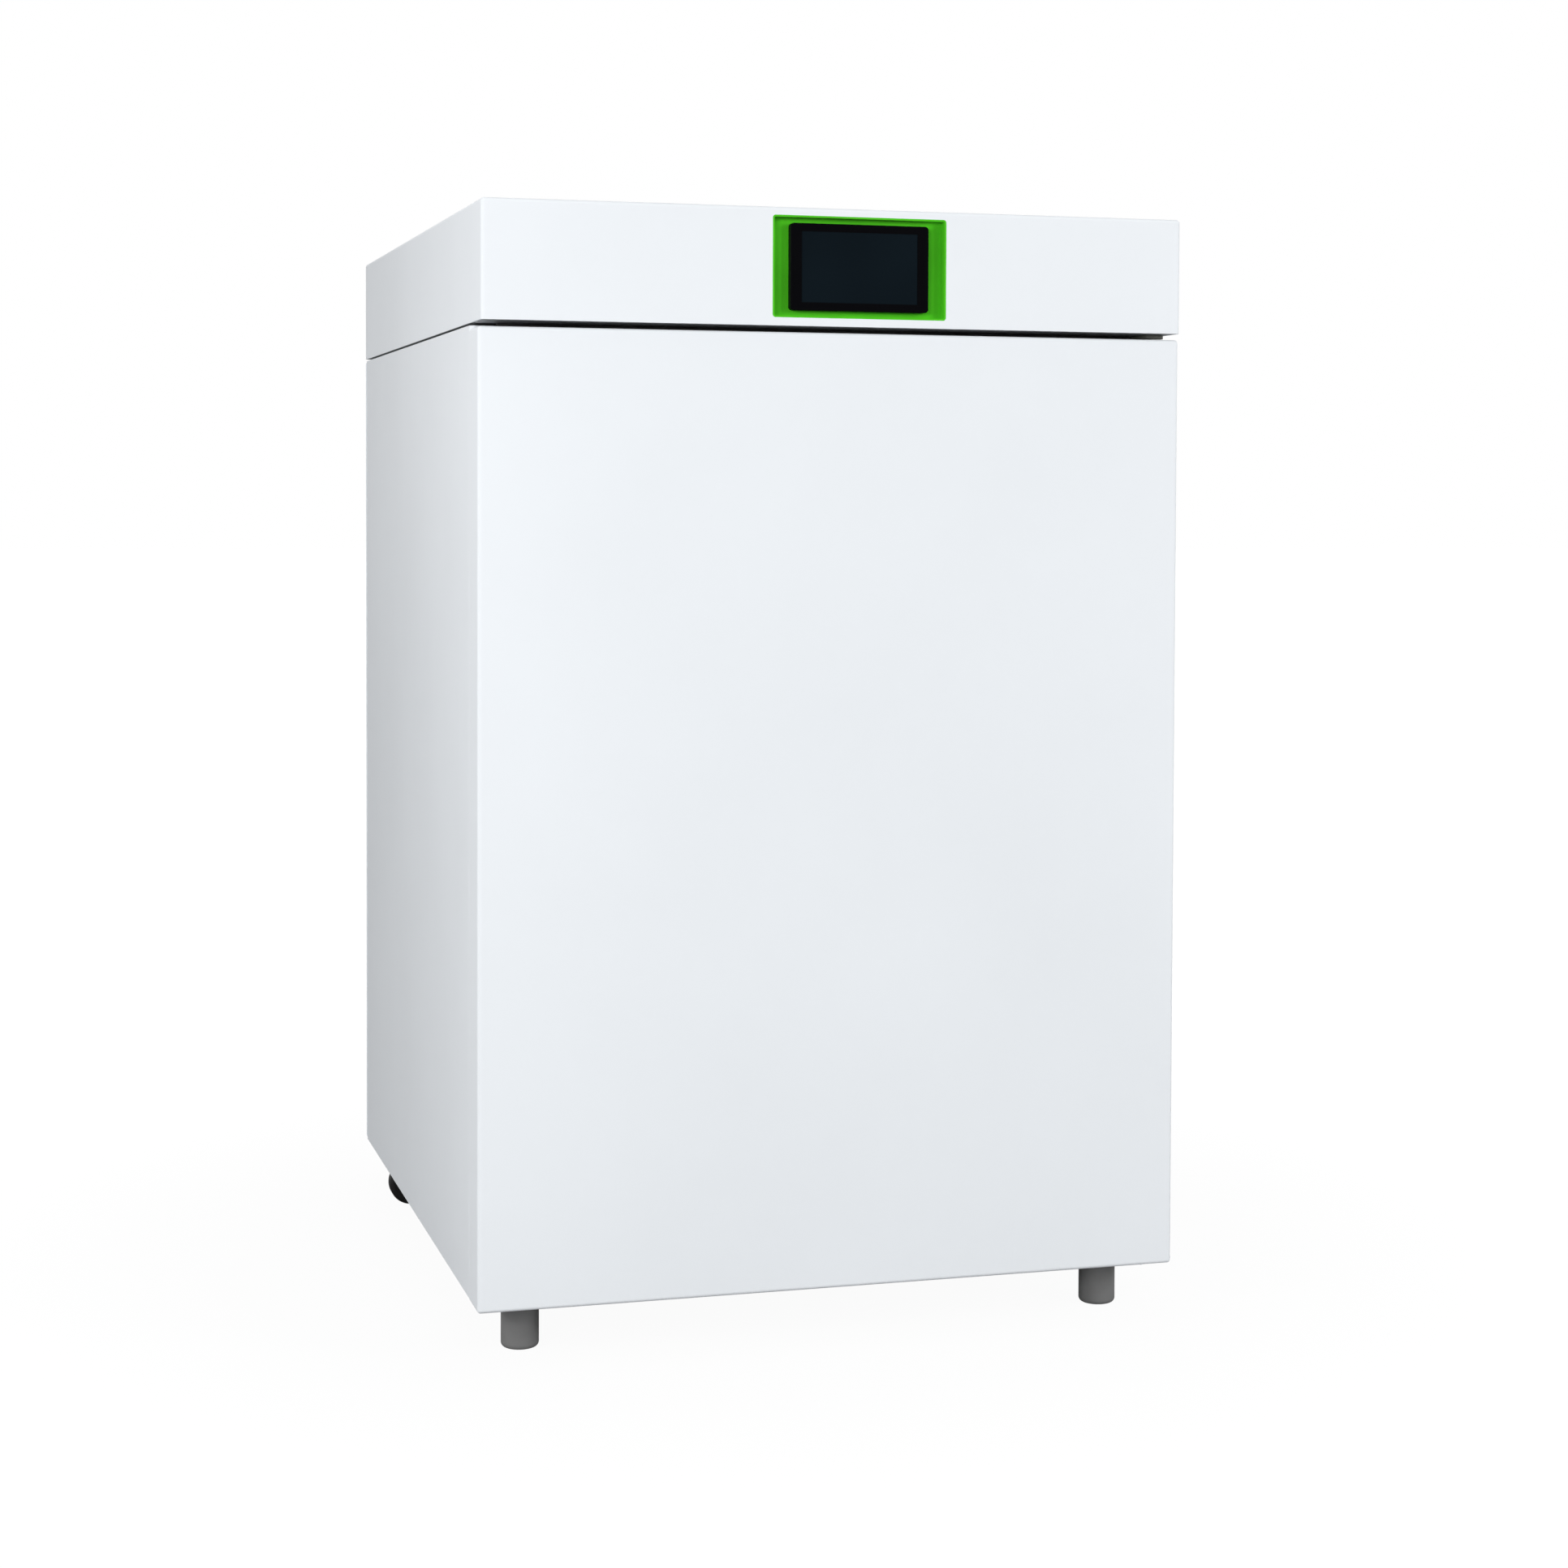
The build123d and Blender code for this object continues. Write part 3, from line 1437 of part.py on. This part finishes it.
def caster_wheel():
    """Left wheel: a rounded tread with a sunk hub on each face."""
    half = wheel_width / 2
    sunk = half - wheel_hub_recess
    tread = FilletPolyline(
        (wheel_hub_radius, -half), (wheel_radius, -half), (wheel_radius, half), (wheel_hub_radius, half),
        radius=wheel_round,
    )
    bore = axle_radius + running_clearance
    rest = Polyline(
        (wheel_hub_radius, half), (wheel_hub_radius, sunk), (bore, sunk),
        (bore, -sunk), (wheel_hub_radius, -sunk), (wheel_hub_radius, -half),
    )
    profile = make_face(Curve() + [tread, rest])
    return turned_y(profile, -caster_x - caster_offset, caster_y, wheel_radius)


left_panel = side_panel()
left_fork = caster_fork()
left_wheel = caster_wheel()

pieces = {
    "left_side_panel": left_panel,
    "right_side_panel": mirrored(left_panel),
    "rear_panel": rear_panel(),
    "top_deck": top_deck(),
    "base_pan": base_pan(),
    "front_frame": front_frame(),
    "gap_trim": gap_trim(),
    "chamber_liner": chamber_liner(),
    "chamber_heaters": chamber_heaters(),
    "chamber_insulation": chamber_insulation(),
    "rack_uprights": rack_uprights(),
    "shelf_runners": shelf_runners(),
    "shelf_bottom": shelf(shelf_seats[0]),
    "shelf_middle": shelf(shelf_seats[1]),
    "shelf_top": shelf(shelf_seats[2]),
    "water_pan": water_pan(),
    "air_duct": air_duct(),
    "fan_cover": fan_cover(),
    "fan_impeller": fan_impeller(),
    "fan_motor": fan_motor(),
    "hepa_filter": hepa_filter(),
    "co2_sensor": ceiling_sensor(-sensor_x, fan_y, sensor_radius, sensor_length),
    "temperature_probe": ceiling_sensor(sensor_x, fan_y, probe_radius, probe_length),
    "door_skin": door_skin(),
    "door_liner": door_liner(),
    "door_heater": door_heater(),
    "door_insulation": door_insulation(),
    "door_gasket": door_gasket(),
    "door_hinge_bushes": door_hinge_bushes(),
    "door_hinge_brackets": door_hinge_brackets(),
    "glass_pane": glass_pane(),
    "glass_seal": glass_seal(),
    "glass_fittings": glass_fittings(),
    "glass_hinge_posts": glass_hinge_posts(),
    "glass_latch": glass_latch(),
    "latch_keeper": latch_keeper(),
    "head_cover": head_cover(),
    "head_base": head_base(),
    "head_rear_panel": head_rear_panel(),
    "panel_screws": panel_screws(),
    "screen_recess": screen_recess(),
    "screen_bezel": screen_bezel(),
    "screen_glass": screen_glass(),
    "display_module": display_module(),
    "control_board": control_board(),
    "power_supply": power_supply(),
    "gas_valve": gas_valve(),
    "gas_line": gas_line(),
    "gas_ports": gas_ports(),
    "power_inlet": power_inlet(),
    "power_rocker": power_rocker(),
    "access_port": access_port(),
    "port_stopper": port_stopper(),
    "foot_left": foot(-foot_x),
    "foot_right": foot(foot_x),
    "base_fittings": base_fittings(),
    "caster_fork_left": left_fork,
    "caster_fork_right": mirrored(left_fork),
    "caster_wheel_left": left_wheel,
    "caster_wheel_right": mirrored(left_wheel),
}

for name, piece in pieces.items():
    export_step(piece, f"parts/{name}.step")
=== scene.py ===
import json
from math import radians

import bpy
from mathutils import Matrix, Vector

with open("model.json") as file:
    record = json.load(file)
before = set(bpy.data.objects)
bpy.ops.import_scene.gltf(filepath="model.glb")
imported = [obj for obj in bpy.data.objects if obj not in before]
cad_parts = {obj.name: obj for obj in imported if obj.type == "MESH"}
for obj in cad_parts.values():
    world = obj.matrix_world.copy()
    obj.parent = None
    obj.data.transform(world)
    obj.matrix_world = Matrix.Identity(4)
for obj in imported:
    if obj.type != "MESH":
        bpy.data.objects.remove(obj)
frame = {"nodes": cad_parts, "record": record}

# Colours of the enamel and of the stainless steel
WHITE = (0.873, 0.906, 0.94)
STEEL = (0.74, 0.75, 0.76)

# Stretch of the brushed grain: its lines run along the axis with the small value
ALONG_X = (0.15, 6, 6)
ALONG_Y = (6, 0.15, 6)
ALONG_Z = (6, 6, 0.15)
NO_GRAIN = (1, 1, 1)

# Part of a noise pattern's range that a look is spread over
PATTERN_LOW = 0.3
PATTERN_HIGH = 0.7

# Floor: half its side in metres, its grey as the lamps see it, its white as the camera sees it
FLOOR_HALF = 40
FLOOR_GREY = 0.38
FLOOR_WHITE = 1.06

# The camera sees mostly that white out to NEAR, in metres, and only that white from FAR on
NEAR = 0.45
FAR = 1.5
NEAR_SHARE = 0.90

# Strength of the world as a source of light
AMBIENT = 0.38

# Camera: frame, focal length and principal point in pixels; sensor in millimetres; place in metres
PHOTO = 1932
FOCAL = 3536.0
PRINCIPAL = (966.0, 740.0)
SENSOR = 36.0
CAMERA_PLACE = (-0.684, -2.5549, 0.6845)
YAW = radians(-15.96)
PITCH = radians(-1.90)
ROLL = radians(0.21)

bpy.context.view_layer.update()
nodes = frame["nodes"]


# Materials


class Shader:
    """A node material built round one Principled shader."""

    def __init__(self, name, rough, metallic=0.0, specular=0.5):
        self.material = bpy.data.materials.new(name)
        self.material.use_nodes = True
        self.tree = self.material.node_tree
        self.shader = self.tree.nodes["Principled BSDF"]
        self.shader.inputs["Roughness"].default_value = rough
        self.shader.inputs["Metallic"].default_value = metallic
        self.shader.inputs["Specular IOR Level"].default_value = specular
        self.place = self.tree.nodes.new("ShaderNodeTexCoord").outputs["Object"]

    def set(self, **values):
        """Fixed values of sockets; an underscore stands for a space in the name."""
        for name, value in values.items():
            self.shader.inputs[name.replace("_", " ")].default_value = value
        return self

    def stretched(self, scale):
        """Object coordinates scaled along each axis."""
        mapping = self.tree.nodes.new("ShaderNodeMapping")
        mapping.inputs["Scale"].default_value = scale
        self.tree.links.new(self.place, mapping.inputs["Vector"])
        return mapping.outputs["Vector"]

    def noise(self, scale, detail=2.0, stretch=(1, 1, 1)):
        """A noise pattern in object coordinates, scale in waves a metre."""
        node = self.tree.nodes.new("ShaderNodeTexNoise")
        node.inputs["Scale"].default_value = scale
        node.inputs["Detail"].default_value = detail
        self.tree.links.new(self.stretched(stretch), node.inputs["Vector"])
        return node.outputs["Fac"]

    def between(self, factor, low, high):
        """A value that follows a pattern from low to high."""
        node = self.tree.nodes.new("ShaderNodeMapRange")
        node.inputs["From Min"].default_value = PATTERN_LOW
        node.inputs["From Max"].default_value = PATTERN_HIGH
        node.inputs["To Min"].default_value = low
        node.inputs["To Max"].default_value = high
        self.tree.links.new(factor, node.inputs["Value"])
        return node.outputs["Result"]

    def colour(self, factor, dark, light):
        """Base colour that follows a pattern between two colours."""
        ramp = self.tree.nodes.new("ShaderNodeValToRGB")
        ramp.color_ramp.elements[0].position = PATTERN_LOW
        ramp.color_ramp.elements[1].position = PATTERN_HIGH
        ramp.color_ramp.elements[0].color = (*dark, 1)
        ramp.color_ramp.elements[1].color = (*light, 1)
        self.tree.links.new(factor, ramp.inputs["Fac"])
        self.tree.links.new(ramp.outputs["Color"], self.shader.inputs["Base Color"])
        return self

    def roughness(self, factor, low, high):
        """Roughness that follows a pattern."""
        self.tree.links.new(self.between(factor, low, high), self.shader.inputs["Roughness"])
        return self

    def bump(self, height, depth, strength=1.0):
        """Relief from a pattern, depth in metres."""
        node = self.tree.nodes.new("ShaderNodeBump")
        node.inputs["Distance"].default_value = depth
        node.inputs["Strength"].default_value = strength
        self.tree.links.new(height, node.inputs["Height"])
        self.tree.links.new(node.outputs["Normal"], self.shader.inputs["Normal"])
        return self


def tinted(colour, share):
    """A colour made lighter or darker by a share."""
    return tuple(min(value * share, 1.0) for value in colour)


def enamel(name, colour, rough=0.5):
    """Powder-coated steel: fine orange peel over an even colour."""
    coat = Shader(name, rough, 0.0, 0.1)
    coat.colour(coat.noise(5, 3), tinted(colour, 0.985), tinted(colour, 1.01))
    coat.roughness(coat.noise(60), rough - 0.03, rough + 0.04)
    return coat.bump(coat.noise(700, 2), 0.00004, 0.25).material


def brushed(name, colour, grain, rough=0.34):
    """Brushed steel, its grain drawn out along one axis."""
    steel = Shader(name, rough, 1.0)
    lines = steel.noise(420, 2, grain)
    steel.colour(steel.noise(6, 2), tinted(colour, 0.97), tinted(colour, 1.02))
    steel.roughness(lines, rough - 0.02, rough + 0.03)
    return steel.bump(lines, 0.000006, 0.15).material


def zinc(name, colour):
    """Zinc-plated steel with its faint spangle."""
    plate = Shader(name, 0.42, 1.0)
    cells = plate.tree.nodes.new("ShaderNodeTexVoronoi")
    cells.inputs["Scale"].default_value = 120
    plate.tree.links.new(plate.place, cells.inputs["Vector"])
    plate.colour(cells.outputs["Color"], tinted(colour, 0.86), tinted(colour, 1.05))
    return plate.roughness(plate.noise(150), 0.34, 0.5).material


def moulded(name, colour, rough=0.4, specular=0.5, grain=1500, depth=0.00003):
    """Moulded plastic or rubber with a fine grain."""
    plastic = Shader(name, rough, 0.0, specular)
    plastic.colour(plastic.noise(30, 3), tinted(colour, 0.92), tinted(colour, 1.06))
    plastic.roughness(plastic.noise(200), rough - 0.04, rough + 0.05)
    return plastic.bump(plastic.noise(grain), depth, 0.4).material


def clear_glass(name):
    """Clear safety glass with the green tint of its edges."""
    pane = Shader(name, 0.0)
    pane.colour(pane.noise(3), (0.90, 0.97, 0.94), (0.93, 0.985, 0.96))
    pane.roughness(pane.noise(25), 0.0, 0.02)
    return pane.set(Transmission_Weight=1.0, IOR=1.46).material


def screen_glass(name, colour):
    """Matt cover of an unlit display."""
    face = Shader(name, 0.22, 0.0, 0.02)
    face.colour(face.noise(14, 1), tinted(colour, 0.9), tinted(colour, 1.1))
    return face.bump(face.noise(2500), 0.00001, 0.2).material


def foam(name, colour):
    """Cut foam with open cells."""
    block = Shader(name, 0.95, 0.0, 0.1)
    block.colour(block.noise(200, 4), tinted(colour, 0.8), tinted(colour, 1.05))
    return block.bump(block.noise(420, 3), 0.0006, 0.6).material


def paper(name, colour):
    """Filter paper with loose fibres."""
    media = Shader(name, 0.85, 0.0, 0.2)
    media.colour(media.noise(300, 5), tinted(colour, 0.9), tinted(colour, 1.0))
    return media.bump(media.noise(900, 5, (1, 1, 0.15)), 0.0001, 0.5).material


def board(name, colour):
    """Circuit board with copper tracks under its green lacquer."""
    lacquer = Shader(name, 0.3)
    tracks = lacquer.tree.nodes.new("ShaderNodeTexBrick")
    tracks.inputs["Scale"].default_value = 60
    tracks.inputs["Mortar Size"].default_value = 0.06
    tracks.inputs["Color1"].default_value = (*colour, 1)
    tracks.inputs["Color2"].default_value = (*tinted(colour, 0.8), 1)
    tracks.inputs["Mortar"].default_value = (*tinted(colour, 1.9), 1)
    lacquer.tree.links.new(lacquer.place, tracks.inputs["Vector"])
    lacquer.tree.links.new(tracks.outputs["Color"], lacquer.shader.inputs["Base Color"])
    return lacquer.bump(tracks.outputs["Fac"], 0.00005, 0.5).material


looks = {
    "white_enamel": enamel("white_enamel", WHITE),
    "hinge_steel": enamel("hinge_steel", (0.17, 0.17, 0.15), 0.4),
    "dark_trim": moulded("dark_trim", (0.085, 0.085, 0.080), 0.6, 0.3),
    "steel_across": brushed("steel_across", STEEL, ALONG_X),
    "steel_deep": brushed("steel_deep", STEEL, ALONG_Y),
    "steel_upright": brushed("steel_upright", STEEL, ALONG_Z),
    "zinc_steel": zinc("zinc_steel", (0.55, 0.56, 0.57)),
    "aluminium": brushed("aluminium", (0.66, 0.67, 0.68), NO_GRAIN, 0.38),
    "brass": brushed("brass", (0.65, 0.47, 0.20), (4, 1, 4), 0.28),
    "heater_foil": brushed("heater_foil", (0.60, 0.33, 0.10), (2, 2, 2), 0.4),
    "green_plastic": moulded("green_plastic", (0.083, 0.565, 0.017), 0.42, 0.08),
    "black_plastic": moulded("black_plastic", (0.006, 0.006, 0.007), 0.35, 0.3),
    "bezel_black": moulded("bezel_black", (0.0022, 0.0022, 0.0030), 0.3, 0.02),
    "dark_plastic": moulded("dark_plastic", (0.035, 0.035, 0.037), 0.45),
    "white_plastic": moulded("white_plastic", (0.78, 0.78, 0.75), 0.4),
    "tube_plastic": moulded("tube_plastic", (0.10, 0.28, 0.55), 0.3),
    "silicone": moulded("silicone", (0.66, 0.67, 0.66), 0.5, 0.4, 600),
    "gasket_grey": moulded("gasket_grey", (0.28, 0.29, 0.30), 0.6, 0.4, 500),
    "foot_rubber": moulded("foot_rubber", (0.20, 0.20, 0.20), 0.33, 0.7),
    "black_rubber": moulded("black_rubber", (0.007, 0.007, 0.007), 0.55, 0.3),
    "display_glass": screen_glass("display_glass", (0.0042, 0.0082, 0.0118)),
    "clear_glass": clear_glass("clear_glass"),
    "foam": foam("foam", (0.82, 0.74, 0.50)),
    "filter_paper": paper("filter_paper", (0.88, 0.88, 0.85)),
    "circuit_board": board("circuit_board", (0.02, 0.16, 0.07)),
}

# Looks of single pieces; every other piece takes the look of its slot
own_look = {
    "chamber_liner": "steel_upright",
    "rack_uprights": "steel_upright",
    "shelf_runners": "steel_deep",
    "shelf_bottom": "steel_across",
    "shelf_middle": "steel_across",
    "shelf_top": "steel_across",
    "water_pan": "steel_across",
    "air_duct": "steel_upright",
    "fan_cover": "steel_across",
    "screen_bezel": "bezel_black",
}
STAINLESS_LOOK = "steel_upright"

slot_of = {part["node"]: part["material_slot"] for part in frame["record"]["subparts"]}
for name, piece in nodes.items():
    slot = slot_of[name]
    slot_look = STAINLESS_LOOK if slot == "stainless" else slot
    piece.data.materials.clear()
    piece.data.materials.append(looks[own_look.get(name, slot_look)])


# Floor, light and camera


def floor_paint():
    """Pale paint that turns to plain white further out, and keeps the object's shadow."""
    paint = bpy.data.materials.new("studio_floor")
    paint.use_nodes = True
    tree = paint.node_tree
    add = tree.nodes.new
    link = tree.links.new
    diffuse = tree.nodes["Principled BSDF"]
    diffuse.inputs["Base Color"].default_value = (FLOOR_GREY, FLOOR_GREY, FLOOR_GREY, 1)
    diffuse.inputs["Roughness"].default_value = 0.9
    diffuse.inputs["Specular IOR Level"].default_value = 0.0
    white = add("ShaderNodeEmission")
    white.inputs["Color"].default_value = (1, 1, 1, 1)
    white.inputs["Strength"].default_value = FLOOR_WHITE
    place = add("ShaderNodeTexCoord")
    distance = add("ShaderNodeVectorMath")
    distance.operation = "LENGTH"
    fade = add("ShaderNodeMapRange")
    fade.inputs["From Min"].default_value = NEAR
    fade.inputs["From Max"].default_value = FAR
    fade.inputs["To Min"].default_value = NEAR_SHARE
    fade.inputs["To Max"].default_value = 1.0
    path = add("ShaderNodeLightPath")
    seen = add("ShaderNodeMath")
    seen.operation = "MULTIPLY"
    mix = add("ShaderNodeMixShader")
    link(place.outputs["Object"], distance.inputs[0])
    link(distance.outputs["Value"], fade.inputs["Value"])
    link(fade.outputs["Result"], seen.inputs[0])
    link(path.outputs["Is Camera Ray"], seen.inputs[1])
    link(seen.outputs["Value"], mix.inputs["Fac"])
    link(diffuse.outputs["BSDF"], mix.inputs[1])
    link(white.outputs["Emission"], mix.inputs[2])
    link(mix.outputs["Shader"], tree.nodes["Material Output"].inputs["Surface"])
    return paint


def studio_floor(half):
    """A square floor under the object."""
    mesh = bpy.data.meshes.new("studio_floor")
    corners = [(-half, -half, 0), (half, -half, 0), (half, half, 0), (-half, half, 0)]
    mesh.from_pydata(corners, [], [(0, 1, 2, 3)])
    mesh.materials.append(floor_paint())
    floor = bpy.data.objects.new("studio_floor", mesh)
    bpy.context.scene.collection.objects.link(floor)


def studio_world(ambient):
    """World that is white to the camera and in reflections, and dimmer as a source of light."""
    world = bpy.data.worlds.new("studio_world")
    bpy.context.scene.world = world
    world.use_nodes = True
    tree = world.node_tree
    add = tree.nodes.new
    link = tree.links.new
    path = add("ShaderNodeLightPath")
    first = add("ShaderNodeMath")
    first.operation = "MAXIMUM"
    second = add("ShaderNodeMath")
    second.operation = "MAXIMUM"
    strength = add("ShaderNodeMapRange")
    strength.inputs["To Min"].default_value = ambient
    strength.inputs["To Max"].default_value = 1.0
    link(path.outputs["Is Camera Ray"], first.inputs[0])
    link(path.outputs["Is Glossy Ray"], first.inputs[1])
    link(first.outputs["Value"], second.inputs[0])
    link(path.outputs["Is Transmission Ray"], second.inputs[1])
    link(second.outputs["Value"], strength.inputs["Value"])
    background = tree.nodes["Background"]
    background.inputs["Color"].default_value = (1, 1, 1, 1)
    link(strength.outputs["Result"], background.inputs["Strength"])


def softbox(name, place, target, size, power, gloss=True):
    """A square area lamp aimed at a point, with or without its mirror image in glossy surfaces."""
    lamp = bpy.data.lights.new(name, "AREA")
    lamp.shape = "SQUARE"
    lamp.size = size
    lamp.energy = power
    holder = bpy.data.objects.new(name, lamp)
    aim = Vector(target) - Vector(place)
    holder.location = place
    holder.visible_camera = False
    holder.visible_glossy = gloss
    holder.rotation_euler = aim.to_track_quat("-Z", "Y").to_euler()
    bpy.context.scene.collection.objects.link(holder)


studio_floor(FLOOR_HALF)
studio_world(AMBIENT)
softbox("front_left", place=(-3.0, -4.2, 1.7), target=(-0.1, -0.3, 0.6), size=1.2, power=73, gloss=False)
softbox("corner", place=(-1.5, -1.05, 0.95), target=(-0.3, -0.3, 0.55), size=0.6, power=9.4)
softbox("right", place=(2.2, -2.1, 1.4), target=(0.2, -0.3, 0.6), size=0.9, power=37, gloss=False)
softbox("back", place=(1.0, 3.8, 1.8), target=(0, 0.3, 0.5), size=1.6, power=40)
softbox("top", place=(0, 0.4, 3.4), target=(0, 0, 0.9), size=2.6, power=7)

lens = bpy.data.cameras.new("camera")
lens.sensor_fit = "HORIZONTAL"
lens.sensor_width = SENSOR
lens.lens = FOCAL / PHOTO * SENSOR
lens.shift_x = (PHOTO / 2 - PRINCIPAL[0]) / PHOTO
lens.shift_y = (PRINCIPAL[1] - PHOTO / 2) / PHOTO
camera = bpy.data.objects.new("camera", lens)
bpy.context.scene.collection.objects.link(camera)
bpy.context.scene.camera = camera
turn = Matrix.Rotation(YAW, 4, "Z") @ Matrix.Rotation(radians(90) + PITCH, 4, "X")
turn = turn @ Matrix.Rotation(ROLL, 4, "Z")
camera.matrix_world = Matrix.Translation(CAMERA_PLACE) @ turn

bpy.context.scene.view_settings.view_transform = "Standard"
